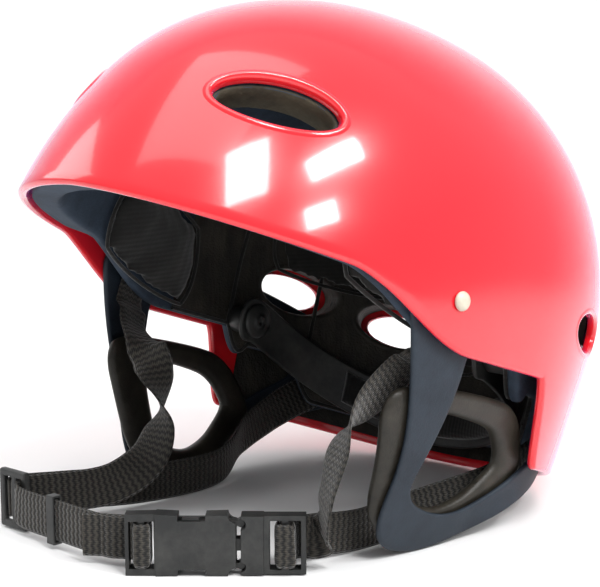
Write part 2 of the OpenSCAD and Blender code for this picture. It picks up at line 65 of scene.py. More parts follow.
class Paint:
    # a material under construction, ending in one Principled shader; node() makes any node but Math
    def __init__(self, name):
        self.mat = bpy.data.materials.new(name)
        self.mat.use_nodes = True
        self.tree = self.mat.node_tree
        self.tree.nodes.clear()
        self.end = self.tree.nodes.new("ShaderNodeOutputMaterial")
        self.skin = self.tree.nodes.new("ShaderNodeBsdfPrincipled")
        self.tree.links.new(self.skin.outputs[0], self.end.inputs[0])

    def node(self, kind, settings=None, sockets=None, out=0):
        n = self.tree.nodes.new("ShaderNode" + kind)
        for key, value in (settings or {}).items():
            if key == "stops":
                ramp = n.color_ramp
                while len(ramp.elements) < len(value):
                    ramp.elements.new(0.5)
                for e, (pos, col) in zip(ramp.elements, value):
                    e.position = pos
                    e.color = col if len(col) == 4 else (*col, 1)
            else:
                setattr(n, key, value)
        for key, value in (sockets or {}).items():
            if isinstance(value, Sock):
                self.tree.links.new(value.link, n.inputs[key])
            else:
                n.inputs[key].default_value = value
        return Sock(self, n.outputs[out])

    def maths(self, operation, a, b=0.0, clamp=False):
        return self.node("Math", {"operation": operation, "use_clamp": clamp}, {0: a, 1: b})

    def place(self, space="Object"):
        return self.node("TexCoord", out=space)

    def noise(self, where, scale, detail=3.0, rough=0.5):
        return self.node("TexNoise", None, {"Vector": where, "Scale": scale, "Detail": detail, "Roughness": rough})

    def ramp(self, value, stops):
        return self.node("ValToRGB", {"stops": stops}, {"Fac": value})

    def blend(self, amount, a, b):
        return self.node("Mix", {"data_type": "RGBA"}, {0: amount, 6: a, 7: b}, out=2)

    def bump(self, height, strength, distance):
        return self.node("Bump", None, {"Height": height, "Strength": strength, "Distance": distance})

    def finish(self, **values):
        names = {"colour": "Base Color", "roughness": "Roughness", "normal": "Normal", "coat": "Coat Weight",
                 "coatRoughness": "Coat Roughness", "sheen": "Sheen Weight", "sheenRoughness": "Sheen Roughness",
                 "specular": "Specular IOR Level", "sheenTint": "Sheen Tint", "metallic": "Metallic", "ior": "IOR"}
        for key, value in values.items():
            s = self.skin.inputs[names[key]]
            if isinstance(value, Sock):
                self.tree.links.new(value.link, s)
            else:
                s.default_value = value
        return self.mat


def glossRed():
    # moulded red under a clear coat: slow haze, faint smudges and a fine orange peel; a purple-blue sheen paints a
    # reflection of a blue-violet backdrop along the grazing edges, turning them magenta
    p = Paint("redGloss")
    at = p.place()
    haze = p.noise(at, 9.0, 2.0)
    smudge = p.noise(at, 55.0, 4.0, 0.6)
    peel = p.noise(at, 420.0, 1.0)
    colour = p.blend(haze, (0.76, 0.012, 0.020, 1), (0.72, 0.009, 0.018, 1))
    # painted reflection: the purple-blue sheen tint stands in for a blue-violet backdrop seen in the coat at grazing
    # angles
    return p.finish(colour=colour, roughness=0.20 + 0.05 * smudge, normal=p.bump(peel, 0.02, 0.0004),
                    coat=0.84 + 0.06 * haze, coatRoughness=0.085, specular=0.35,
                    sheen=0.22, sheenRoughness=0.35, sheenTint=(0.45, 0.25, 1.0, 1))


def foam(name, dark, light, cell, depth=0.35, rough=0.72):
    # closed-cell foam: cells and scuffs in the bump, patches in the tone
    p = Paint(name)
    at = p.place()
    cells = p.node("TexVoronoi", None, {"Vector": at, "Scale": cell})
    patchy = p.noise(at, 38.0, 4.0, 0.6)
    scuff = p.noise(at, 240.0, 3.0, 0.7)
    tone = p.ramp(patchy * 0.6 + scuff * 0.4, [(0.35, (0, 0, 0)), (0.68, (1, 1, 1))])
    return p.finish(colour=p.blend(tone, (*dark, 1), (*light, 1)), roughness=rough + 0.16 * scuff,
                    normal=p.bump(cells * 0.5 + scuff * 0.5, depth, 0.0006), specular=0.3)


def cloth(name, dark, light, pitch=900.0):
    # plain weave: two sets of bands at right angles, fuzz over them
    p = Paint(name)
    at = p.place()
    bands = {"Vector": at, "Scale": pitch / 6.2, "Distortion": 0.6, "Detail": 1.0}
    warp, weft = (p.node("TexWave", {"bands_direction": axis}, bands) for axis in "XZ")
    fuzz = p.noise(at, 700.0, 3.0, 0.7)
    rub = p.noise(at, 30.0, 4.0, 0.65)
    tone = p.ramp(rub * 0.7 + fuzz * 0.3, [(0.38, (0, 0, 0)), (0.66, (1, 1, 1))])
    return p.finish(colour=p.blend(tone, (*dark, 1), (*light, 1)), roughness=0.82 + 0.12 * fuzz,
                    normal=p.bump(warp * 0.35 + weft * 0.35 + fuzz * 0.5, 0.5, 0.0004),
                    sheen=0.35, sheenRoughness=0.5, specular=0.2)


def creased(name, dark, light):
    # coated cloth: a fine pebble grain and soft creases that run mostly upright
    p = Paint(name)
    at = p.place()
    drawn = p.node("Mapping", {"vector_type": "POINT"}, {"Vector": at, "Scale": (1.0, 1.0, 0.22)})
    crease = p.noise(drawn, 150.0, 4.0, 0.62)
    pebble = p.node("TexVoronoi", None, {"Vector": at, "Scale": 950.0})
    rub = p.noise(at, 42.0, 4.0, 0.65)
    tone = p.ramp(rub * 0.55 + crease * 0.45, [(0.40, (0, 0, 0)), (0.66, (1, 1, 1))])
    return p.finish(colour=p.blend(tone, (*dark, 1), (*light, 1)), roughness=0.50 + 0.22 * rub,
                    normal=p.bump(crease * 1.6 + pebble * 0.25, 0.55, 0.0012), specular=0.4)


def plastic(name, dark, light, rough=0.42):
    # moulded plastic: fine grain, rubbed patches a little lighter and duller
    p = Paint(name)
    at = p.place()
    grain = p.noise(at, 1500.0, 2.0)
    rub = p.noise(at, 60.0, 5.0, 0.7)
    colour = p.blend(p.ramp(rub, [(0.4, (0, 0, 0)), (0.7, (1, 1, 1))]), (*dark, 1), (*light, 1))
    return p.finish(colour=colour, roughness=rough + 0.18 * rub, normal=p.bump(grain, 0.12, 0.0002), specular=0.45)


def webbing(name, dark, light):
    # u runs across in mm, v along: ribs every 2.7 mm that zigzag across the width, yarns every 0.9 mm
    p = Paint(name)
    split = p.node("SeparateXYZ", None, {0: p.place("UV")}).link.node
    u, v = Sock(p, split.outputs[0]), Sock(p, split.outputs[1])
    slant = p.maths("ABSOLUTE", p.maths("PINGPONG", u, 3.0) - 1.5)
    ribs = p.maths("SINE", (v + slant * 0.55) * (2 * math.pi / 2.7)) * 0.5 + 0.5
    yarn = p.maths("SINE", u * (2 * math.pi / 0.9) + ribs * 2.2) * 0.5 + 0.5
    fuzz = p.noise(p.place(), 900.0, 3.0, 0.7)
    wear = p.noise(p.place(), 45.0, 3.0, 0.6)
    tone = ribs * 0.45 + yarn * 0.2 + fuzz * 0.2 + wear * 0.25
    colour = p.blend(p.ramp(tone, [(0.32, (0, 0, 0)), (0.85, (1, 1, 1))]), (*dark, 1), (*light, 1))
    return p.finish(colour=colour, roughness=0.6 + 0.25 * fuzz,
                    normal=p.bump(ribs * 0.8 + yarn * 0.35 + fuzz * 0.25, 0.8, 0.0006),
                    sheen=0.25, sheenRoughness=0.4, specular=0.35)


finishes = {
    "redGloss": glossRed(),
    "linerFoam": foam("linerFoam", (0.018, 0.027, 0.042), (0.042, 0.060, 0.088), 900.0),
    "ventFoam": foam("ventFoam", (0.030, 0.026, 0.017), (0.085, 0.076, 0.050), 800.0),
    "guardFoam": foam("guardFoam", (0.008, 0.013, 0.021), (0.020, 0.029, 0.041), 1100.0, 0.25, 0.50),
    "ringFoam": foam("ringFoam", (0.009, 0.008, 0.006), (0.034, 0.030, 0.023), 1200.0, 0.2, 0.34),
    "padCloth": cloth("padCloth", (0.004, 0.004, 0.004), (0.018, 0.017, 0.015)),
    "panelCloth": creased("panelCloth", (0.008, 0.007, 0.005), (0.040, 0.034, 0.026)),
    "blackPlastic": plastic("blackPlastic", (0.010, 0.011, 0.011), (0.036, 0.036, 0.034), 0.36),
    "web": webbing("web", (0.003, 0.003, 0.003), (0.055, 0.049, 0.040)),
    "rivet": plastic("rivet", (0.40, 0.36, 0.28), (0.58, 0.54, 0.44), 0.26),
}
print("materials made")

# ---- the helmet's own surface, in millimetres, level frame

helmet = {"halfW": 104, "frontL": 158, "rearL": 135, "crownH": 126, "domeN": 2.13, "planQ": 2.15, "egg": 0.09,
          "wallT": 4, "lip": 4.3, "sideIn": 0.05, "napeIn": 0.18, "brimZ": 11, "brimFall": 9, "earStep": 22,
          "napeStep": 38, "tilt": 18, "standH": 96.5, "shiftY": 8.7}


def ease(a, b, x):
    # 0 before a, 1 after b, and s squared times (3 - 2 s) between
    s = np.clip((x - a) / (b - a), 0, 1)
    return s * s * (3 - 2 * s)


def offFront(t):
    # angle away from the front, 0 to 180, of bearing t
    return np.abs(((np.asarray(t, float) + 630) % 360) - 180)


def edgeZ(u):
    # height of the shell's lower edge: brim falling to the temple, ear step, nape step
    h = helmet
    return (h["brimZ"] - h["brimFall"] * np.minimum(u / 62, 1) ** 1.3 - h["earStep"] * ease(57, 82, u)
            - h["napeStep"] * ease(100, 107, u) - 5 * ease(107, 180, u))


def wall(t, z, d=0):
    # point at bearing t and height z, d inside the shell's outer face: a superellipse plan
    # scaled by a superellipse side profile, with the brim flare and the inward lean below
    h = helmet
    t, z, d = np.broadcast_arrays(np.asarray(t, float), np.asarray(z, float), np.asarray(d, float))
    u, m, top = offFront(t), 2 / h["planQ"], h["crownH"] - d
    ct, st = np.cos(np.radians(t)), np.sin(np.radians(t))
    x = (h["halfW"] - d) * np.sign(ct) * np.abs(ct) ** m * (1 + h["egg"] * (st - 0.15))
    y = (np.where(st < 0, h["frontL"], h["rearL"]) - d) * np.sign(st) * np.abs(st) ** m
    k = (1 - np.clip(z / top, 0, 1) ** h["domeN"]) ** (1 / h["domeN"])
    low = np.maximum(20 - z, 0) / 100
    k = k - (h["sideIn"] * ease(20, 60, u) * (1 - ease(110, 170, u)) + h["napeIn"] * ease(95, 170, u)) * low ** 1.6
    k = k + h["lip"] * ease(95, 25, u) * np.clip((62 - z) / 40, 0, 1.6) ** 1.6 / np.maximum(np.hypot(x, y), 1)
    return np.stack([x * k, y * k, z], -1)


def toTable(p):
    # tilt back and lift onto the table
    a = math.radians(helmet["tilt"])
    y = helmet["shiftY"] + p[..., 1] * math.cos(a) + p[..., 2] * math.sin(a)
    z = helmet["standH"] - p[..., 1] * math.sin(a) + p[..., 2] * math.cos(a)
    return np.stack([p[..., 0], y, z], -1)


def unit(v):
    # the vectors over their own lengths
    return v / np.maximum(np.linalg.norm(v, axis=-1, keepdims=True), 1e-9)


def wallNormal(t, z, d=0):
    # outward normal from two small steps along the wall
    return unit(np.cross(wall(np.asarray(t) + 0.5, z, d) - wall(np.asarray(t) - 0.5, z, d),
                         wall(t, np.asarray(z) + 0.5, d) - wall(t, np.asarray(z) - 0.5, d)))


# ---- mesh helpers

def gridFaces(rows, cols, around=False, over=False, base=0):
    # quads of a grid, wrapping in either direction
    j, i = np.meshgrid(np.arange(rows if over else rows - 1), np.arange(cols if around else cols - 1), indexing="ij")
    a = j * cols + i
    b = j * cols + (i + 1) % cols
    c = ((j + 1) % rows) * cols + (i + 1) % cols
    e = ((j + 1) % rows) * cols + i
    return np.stack([a, b, c, e], -1).reshape(-1, 4) + base


def border(grid):
    # a grid's outermost line, once round
    return np.concatenate([grid[0, :-1], grid[:-1, -1], grid[-1, :0:-1], grid[:0:-1, 0]])


def makePiece(name, parts, finish, smooth=True):
    # parts: list of (points, quads, uv or None) in table millimetres, joined into one mesh
    verts, quads, uvs, base = [], [], [], 0
    for pts, faces, uv in parts:
        pts = np.asarray(pts).reshape(-1, 3)
        verts.append(pts)
        quads.append(faces + base)
        uvs.append(np.zeros((len(pts), 2)) if uv is None else np.asarray(uv).reshape(-1, 2))
        base += len(pts)
    verts, quads, uvs = np.concatenate(verts) * mm, np.concatenate(quads), np.concatenate(uvs)
    mesh = bpy.data.meshes.new(name)
    mesh.from_pydata(verts, [], quads.tolist())
    layer = mesh.uv_layers.new(name="UVMap")
    index = np.empty(len(mesh.loops), np.int32)
    mesh.loops.foreach_get("vertex_index", index)
    layer.data.foreach_set("uv", uvs[index].astype(np.float32).ravel())
    mesh.polygons.foreach_set("use_smooth", np.full(len(mesh.polygons), smooth))
    mesh.materials.append(finishes[finish])
    mesh.update()
    piece = bpy.data.objects.new(name, mesh)
    scene.collection.objects.link(piece)
    return piece


def weld(piece, gap=0.00002):
    # merge doubled points at seams and poles, then point the faces outwards
    bm = bmesh.new()
    bm.from_mesh(piece.data)
    bmesh.ops.remove_doubles(bm, verts=bm.verts, dist=gap)
    bmesh.ops.dissolve_degenerate(bm, edges=bm.edges, dist=1e-7)
    bmesh.ops.recalc_face_normals(bm, faces=bm.faces)
    bm.to_mesh(piece.data)
    bm.free()
    return piece


def belong(piece, body, node=None):
    # the body a piece moves with, and the moulded node it stands for, which is hidden
    if node:
        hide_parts(node)
    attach(piece, body)


def tube(points, radius, sides=10, closed=True):
    # a round profile carried along a path, its frame turned as little as possible
    p = np.asarray(points, float)
    along = unit(np.roll(p, -1, 0) - np.roll(p, 1, 0)) if closed else unit(np.gradient(p, axis=0))
    n = np.empty_like(p)
    n[0] = unit(np.cross(along[0], [0.3, 0.2, 1.0]))
    for i in range(1, len(p)):
        n[i] = unit(n[i - 1] - along[i] * (n[i - 1] @ along[i]))
    b = np.cross(along, n)
    a = np.linspace(0, 2 * np.pi, sides, endpoint=False)[None, :, None]
    ring = p[:, None] + radius * (np.cos(a) * n[:, None] + np.sin(a) * b[:, None])
    return ring, gridFaces(len(p), sides, around=True, over=closed), None


# ---- holes: a grid's nearest points are pulled onto a rim, and what lies inside goes

def punch(rho):
    # rho is 1 on the rim and less inside: of each pair of neighbours that straddles 1, the nearer to 1
    # is pulled on; what else is below 1 is gone
    hit = np.zeros(rho.shape, bool)
    for axis in (0, 1):
        nxt = np.roll(rho, -1, axis)
        cross = (rho - 1) * (nxt - 1) < 0
        first = cross & (np.abs(rho - 1) <= np.abs(nxt - 1))
        hit |= first | np.roll(cross & ~first, 1, axis)
    hit &= rho < 4
    return hit, (rho < 1) & ~hit


def keepFaces(faces, hit, gone, middles):
    # faces with no corner inside a hole, and whose middle is outside where all corners are on a rim
    lost = gone.ravel()[faces].any(1) | (hit.ravel()[faces].all(1) & middles)
    return faces[~lost]


vents = [{"t": -53, "z": 58, "l": 50, "h": 20, "rear": False}, {"t": -127, "z": 58, "l": 50, "h": 20, "rear": False}]
vents += [{"t": t, "z": z, "l": 39, "h": 16.5, "rear": True} for t, z in ((65, -2), (29, 6), (115, -2), (151, 6))]


def ventFrame(v):
    # middle of the vent, the way along the wall, the way up it and the way out of it
    p = wall(v["t"], v["z"])
    ex = unit(wall(v["t"] + 1, v["z"]) - wall(v["t"] - 1, v["z"]))
    ez = wallNormal(v["t"], v["z"])
    return p, ex, np.cross(ez, ex), ez


def onWallAt(v, a, b, d):
    # the wall point that lies at a, b in the vent's own plane, by Newton steps on bearing and height
    p, ex, ey, ez = ventFrame(v)
    t, z = np.full(np.shape(a), float(v["t"])), np.full(np.shape(a), float(v["z"]))
    for step in range(7):
        q, qt, qz = wall(t, z, d), wall(t + 0.1, z, d), wall(t, z + 0.1, d)
        ra, rb = a - (q - p) @ ex, b - (q - p) @ ey
        at, az, bt, bz = (qt - q) @ ex / 0.1, (qz - q) @ ex / 0.1, (qt - q) @ ey / 0.1, (qz - q) @ ey / 0.1
        det = at * bz - az * bt
        t, z = t + (ra * bz - rb * az) / det, z + (rb * at - ra * bt) / det
    return wall(t, z, d)


def ventTube(v, profile, count=128):
    # a profile of (widening, depth) pairs carried round the oval
    a = np.linspace(0, 2 * np.pi, count, endpoint=False)
    rings = np.stack([onWallAt(v, (v["l"] / 2 + g) * np.cos(a), (v["h"] / 2 + g) * np.sin(a), d) for g, d in profile])
    return toTable(rings), gridFaces(len(profile), count, around=True)[:, ::-1], None


def ventRho(v, points, grow):
    # a point's place in the vent's plane, and its distance from the middle over the widened oval's own
    p, ex, ey, ez = ventFrame(v)
    rel = points - p
    a, b, c = rel @ ex, rel @ ey, rel @ ez
    rho = np.hypot(a / (v["l"] / 2 + grow), b / (v["h"] / 2 + grow))
    return a, b, np.where(np.abs(c) < 45, rho, 9.0)


def cutVents(points, depth, grow, flip, around=True):
    # a grid on the wall at the given depth, the vents taken out of it, each widened by the front or
    # the rear value of grow
    points, depth = points.copy(), np.broadcast_to(np.asarray(depth, float), points.shape[:2])
    faces = gridFaces(*points.shape[:2], around=around)
    hits, gone = np.zeros(points.shape[:2], bool), np.zeros(points.shape[:2], bool)
    for v in vents:
        a, b, rho = ventRho(v, points, grow[v["rear"]])
        hit, inside = punch(rho)
        points[hit] = onWallAt(v, a[hit] / rho[hit], b[hit] / rho[hit], depth[hit])
        hits |= hit
        gone |= inside
    mid = points.reshape(-1, 3)[faces].mean(1)
    faces = keepFaces(faces, hits, gone, np.min([ventRho(v, mid, grow[v["rear"]])[2] for v in vents], 0) < 1)
    return points, faces[:, ::-1] if flip else faces


# ---- shell

# lips are (widening, depth) pairs from the wall's inside to its outside
shell = {"step": 1.5, "fineStep": 0.25, "rows": 76, "edgeUp": 1.6, "roundSteps": 7,
         "frontLip": [(0, 4.0), (0, 2.6), (0.15, 1.5), (0.7, 0.4), (1.5, -0.45), (2.4, -0.675),
                      (3.3, -0.405), (4.0, 0.05)],
         "rearLip": [(0.4, 4.1), (0.1, 3.7), (0, 3.0), (0, 2.0), (0.2, 0.9), (0.8, 0.1), (1.6, -0.22), (2.6, -0.2),
                     (3.4, 0.08)]}


def bearingsFor(step, fine):
    # bearings round the dome, closer together where the edge steps down behind the ear
    u = [0.0]
    while u[-1] < 180:
        u.append(u[-1] + step - (step - fine) * (ease(93, 99, u[-1]) * (1 - ease(108, 114, u[-1]))))
    u = np.array(u) * 180 / u[-1]
    return np.concatenate([u - 90, 270 - u[1:-1][::-1]])


def domeRows(t, low, d, rows, power=0.92):
    # rows of wall points from height low to the crown, spaced by the sine of an angle
    top = helmet["crownH"] - d
    start = np.arcsin(np.clip(low / top, -1, 1))
    ang = start[None] + (np.pi / 2 - start[None]) * (np.linspace(0, 1, rows)[:, None] ** power)
    pts = wall(t[None], top * np.sin(ang), d)
    pts[-1] = [0, 0, top]
    return pts


def roundRim(outer, inner, steps, drop=1.0):
    # half circle from the inner edge line round to the outer one
    mid, half = (outer + inner) / 2, np.linalg.norm(outer - inner, axis=-1, keepdims=True) / 2
    along = unit(np.roll(mid, -1, 0) - np.roll(mid, 1, 0))
    out = unit(outer - inner)
    down = unit(np.cross(along, out))
    a = np.linspace(0, np.pi, steps + 2)
    return np.stack([mid - out * half * np.cos(x) + down * half * drop * np.sin(x) for x in a])


t = bearingsFor(shell["step"], shell["fineStep"])
low = edgeZ(offFront(t)) + shell["edgeUp"]
outer, outerFaces = cutVents(domeRows(t, low, 0, shell["rows"]), 0, (1.2, 1.2), False)
inner, innerFaces = cutVents(domeRows(t, low, helmet["wallT"], shell["rows"]), helmet["wallT"], (0, 0), True)
rim = roundRim(wall(t, low, 0), wall(t, low, helmet["wallT"]), shell["roundSteps"])
parts = [(toTable(outer), outerFaces, None), (toTable(inner), innerFaces, None),
         (toTable(rim), gridFaces(*rim.shape[:2], around=True), None)]
parts += [ventTube(v, shell["rearLip" if v["rear"] else "frontLip"]) for v in vents]
shellPiece = weld(makePiece("shell", parts, "redGloss"))
belong(shellPiece, "helmet", "outer_shell")
print("shell made")

# ---- foam liner

liner = {"d": 5.0, "thick": 13.0, "stack": 12.8, "corner": 2.0, "steps": 14, "rows": 60, "ventGrow": (-1.5, 3.0),
         "ventLining": [(-0.2, 18.1), (-1.2, 18.4), (-1.7, 17.4), (-1.7, 12), (-1.7, 5.2), (-0.5, 4.8)]}


def linerOuter(t, z):
    # the liner's outer depth steps in behind the guards and the webbing
    u = offFront(t)
    step = ease(54, 60, u) * (1 - ease(149, 155, u)) * (1 - ease(12, 20, z))
    return liner["d"] + (liner["stack"] - liner["d"]) * step


def linerEdge(u):
    # how far the liner's edge stays above the shell's: 1 mm, and more behind the nape step
    return 1 + ease(101, 108, u) * (30 - 20 * ease(120, 132, u))


u = offFront(t)
low = edgeZ(u) + linerEdge(u)
dIn = liner["d"] + liner["thick"]
top = helmet["crownH"] - liner["d"]
start = np.arcsin(np.clip((low + liner["corner"]) / top, -1, 1))
ang = start[None] + (np.pi / 2 - start[None]) * (np.linspace(0, 1, liner["rows"])[:, None] ** 0.92)
zOut = top * np.sin(ang)
depthOut = linerOuter(t[None], zOut)
outer = wall(t[None], zOut, depthOut)
outer[-1] = [0, 0, top]
outer, outerFaces = cutVents(outer, depthOut, liner["ventGrow"], False)
inner, innerFaces = cutVents(domeRows(t, low + liner["corner"], dIn, liner["rows"]), dIn, liner["ventGrow"], True)
s = np.linspace(0, 1, liner["steps"] + 2)[:, None]
dOut = linerOuter(t, low + liner["corner"])[None]
reach = np.minimum(np.minimum(s, 1 - s) * (dIn - dOut) / liner["corner"], 1)
curl = 1 - np.sqrt(np.maximum(1 - (1 - reach) ** 2, 0))
edge = wall(t[None], low[None] + liner["corner"] * curl, dIn + (dOut - dIn) * s)
parts = [(toTable(outer), outerFaces, None), (toTable(inner), innerFaces, None),
         (toTable(edge), gridFaces(*edge.shape[:2], around=True), None)]
linerPiece = weld(makePiece("liner", parts, "linerFoam"))
belong(linerPiece, "helmet", "foam_liner")
tubes = [ventTube(v, liner["ventLining"]) for v in vents if not v["rear"]]
ventPiece = weld(makePiece("ventFoamLining", tubes, "ventFoam"))
belong(ventPiece, "helmet")

# coated cloth on the liner's inner face behind the temples, and down over the nape flap
panel = {"from": 84, "to": 276, "rows": 60, "top": 70, "lift": 1.2, "hemRows": 12, "up": 1.5, "ventGrow": (3.4, 3.4),
         "flapFrom": 108.5, "flapDepths": (5.0, 4.2), "flapRows": 24, "seams": (143, 37, 170, 10), "pipe": 1.1,
         "hem": [(3.2, 5.0), (2.9, 9), (2.8, 17.6), (3.0, 18.6), (3.6, 19.5), (4.6, 19.9), (5.6, 19.4)]}
tp = np.linspace(-90 + panel["from"], -90 + panel["to"], 260)
off = offFront(tp)
lowIn = edgeZ(off) + linerEdge(off) + panel["up"]
rise = np.linspace(0, 1, panel["rows"])[:, None]
skinD = dIn + panel["lift"] * np.minimum(1, rise * panel["hemRows"]) ** 0.5
sheet, sheetFaces = cutVents(wall(tp[None], lowIn[None] + (panel["top"] - lowIn[None]) * rise, skinD),
                             np.broadcast_to(skinD, (panel["rows"], len(tp))), panel["ventGrow"], True, around=False)
parts = [(toTable(sheet), sheetFaces, None)]
flap = off > panel["flapFrom"]
flapLow = edgeZ(off) + 4
flapZ = flapLow[None] + (lowIn[None] + 8 - flapLow[None]) * np.linspace(0, 1, panel["flapRows"])[:, None]
for depth, turn in zip(panel["flapDepths"], (-1, 1)):
    grid = wall(tp[None, flap], flapZ[:, flap], depth)
    parts.append((toTable(grid), gridFaces(*grid.shape[:2])[:, ::turn], None))
parts += [ventTube(v, panel["hem"], 96) for v in vents if v["rear"]]
piece = weld(makePiece("clothPanels", parts, "panelCloth"))
belong(piece, "helmet")
seams = []
for seam in panel["seams"]:
    lowSeam = float(edgeZ(offFront(seam)) + linerEdge(offFront(seam)))
    line = wall(np.full(60, float(seam)), np.linspace(lowSeam + 1, 62, 60), dIn + panel["lift"] + 0.3)
    seams.append(tube(toTable(line), panel["pipe"], 10, closed=False))
seams.append(tube(toTable(wall(tp, lowIn, dIn + 0.8)), 1.0, 10, closed=False))
piece = weld(makePiece("panelPiping", seams, "padCloth"))
belong(piece, "helmet")
print("liner made")

# ---- ear guards and ear pads: a closed loop in bearing and height, thickened across

# outlines are control points of bearing and height
guard = {"lean": 19, "d": 5.1, "thick": 2.5, "edge": 1.1,
         "outer": [(-22, 8), (0, 10), (30, 2), (56, -16), (56, -42), (32, -60), (8, -94), (-4, -105.2), (-11.5, -96),
                   (-13, -62), (-18, -26)],
         "window": [(-7, -12), (2, -10), (16, -12), (34, -20), (37, -34), (24, -50), (9, -78), (0, -86), (-9, -80),
                    (-8, -58), (-7, -34)]}
earPad = {"d": 8.3, "thick": 8.0, "puff": 3.2, "across": 18,
          "outer": [(-17, -35), (2, -32), (13, -34), (23, -56), (22, -64), (18, -74), (6, -92), (-5, -99), (-13, -90),
                    (-16.5, -64), (-19.5, -47)],
          "window": [(-8, -43), (2, -44), (8, -46), (13, -56), (13, -60), (11, -66), (7, -76), (0, -84), (-6, -80),
                     (-8, -62), (-9, -50)]}


def guardWall(t, z, d):
    # the dome wall drawn inwards below the edge
    w = wall(t, z, d)
    w[..., 0] -= guard["lean"] * (1 - ease(8, 30, t)) * (np.maximum(-8 - z, 0) / 95) ** 2.2
    return w


def softLoop(corners, per):
    # closed quadratic B-spline through the corner list's edge middles
    c = np.array(corners, float)
    p, q, r = c[:, None], np.roll(c, -1, 0)[:, None], np.roll(c, -2, 0)[:, None]
    s = (np.arange(per) / per)[None, :, None]
    return ((1 - s) ** 2 * (p + q) / 2 + 2 * s * (1 - s) * q + s * s * (q + r) / 2).reshape(-1, 2)


def loopRing(spec, side, per=14):
    # from the window's line to the outer one, the half thickness is a flat plate's with circular edges,
    # or a roll's: the square root of 1 less the distance from the middle to the power puff
    d, thick, puff, inner, outer = spec["d"], spec["thick"], spec.get("puff"), spec["window"], spec["outer"]
    a, b = softLoop(inner, per), softLoop(outer, per)
    width = np.linalg.norm(guardWall(b[:, 0], b[:, 1], d) - guardWall(a[:, 0], a[:, 1], d), axis=-1)
    e = 0.5 - 0.5 * np.cos(np.linspace(0, np.pi, spec.get("across", 16)))
    e = e[:, None] * np.ones_like(width)[None]
    if puff:
        h = thick / 2 * (1 - np.abs(2 * e - 1) ** puff) ** 0.5
    else:
        near = np.minimum(np.minimum(e, 1 - e) * width[None] / spec["edge"], 1)
        h = thick / 2 * np.sqrt(np.clip(1 - (1 - near) ** 2, 0, 1))
    p = a[None] * (1 - e[..., None]) + b[None] * e[..., None]
    face = guardWall(p[..., 0], p[..., 1], d + thick / 2 - h)
    back = guardWall(p[..., 0], p[..., 1], d + thick / 2 + h)
    ring = np.concatenate([face, back[::-1][1:-1]])
    ring[..., 0] *= side
    faces = gridFaces(*ring.shape[:2], around=True, over=True)
    return toTable(ring), faces if side > 0 else faces[:, ::-1], None


for side, tag in ((1, "left"), (-1, "right")):
    piece = weld(makePiece("earGuard_" + tag, [loopRing(guard, side)], "guardFoam"))
    belong(piece, "helmet", "ear_guard_" + tag)
    piece = weld(makePiece("earRing_" + tag, [loopRing(earPad, side)], "ringFoam"))
    belong(piece, "helmet", "ear_pad_" + tag)
print("ear guards made")

# ---- comfort pads: pillows swollen by a short cloth run, then piped

pad = {"d": 18.9, "thick": 7.0, "cells": 34, "voxel": 2.6, "pressure": 4.0, "cap": 2.4, "frames": 18, "pipe": 0.9}


def discXY(a, b):
    # square to disc: each value times the root of 1 less half the other's square
    return a * np.sqrt(1 - b * b / 2), b * np.sqrt(1 - a * a / 2)


def patchPoint(spec, a, b, depth):
    # point of a rounded patch, on the side wall or under the roof; a, b run from -1 to 1
    qa, qb = discXY(a, b)
    qa, qb = (qa + a) / 2, (qb + b) / 2
    if spec.get("roof"):
        h = helmet
        x, y, q = spec["w"] * qa, spec["y"] + spec["l"] * qb, h["planQ"]
        long = np.where(y < 0, h["frontL"], h["rearL"]) - depth
        r = ((np.abs(x) / (h["halfW"] - depth)) ** q + (np.abs(y) / long) ** q) ** (1 / q)
        return np.stack([x, y, (h["crownH"] - depth) * (1 - r ** h["domeN"]) ** (1 / h["domeN"])], -1)
    w = wall(spec["t"] + spec["tw"] * qa, spec["z"] + spec["zw"] * qb + spec.get("lean", 0) * qa, depth)
    if spec.get("side", 1) < 0:
        w[..., 0] *= -1
    return w


def pillow(spec, shrink):
    # two patches back to back, with rim 1 in the middle and 0 at the border: the hidden one follows the
    # liner, and the open one crowns towards the head with rim to the power 0.6
    n = pad["cells"]
    b, a = np.meshgrid(np.linspace(-1, 1, n), np.linspace(-1, 1, n), indexing="ij")
    rim = 1 - np.maximum(np.abs(a), np.abs(b)) ** 4
    d, thick = spec["d"] + 0.3, spec["thick"] - 0.6
    back = patchPoint(spec, a * shrink, b * shrink, d + thick * 0.30 * (1 - rim))
    front = patchPoint(spec, a * shrink, b * shrink, d + thick * (0.42 + 0.5 * rim ** 0.6))
    faces, index = gridFaces(n, n), np.arange(n * n).reshape(n, n)
    line = border(index)
    side = np.stack([line, np.roll(line, -1), np.roll(line, -1) + n * n, line + n * n], -1)
    quads = np.concatenate([faces, faces[:, ::-1] + n * n, side[:, ::-1]])
    return toTable(np.concatenate([back.reshape(-1, 3), front.reshape(-1, 3)])), quads, None


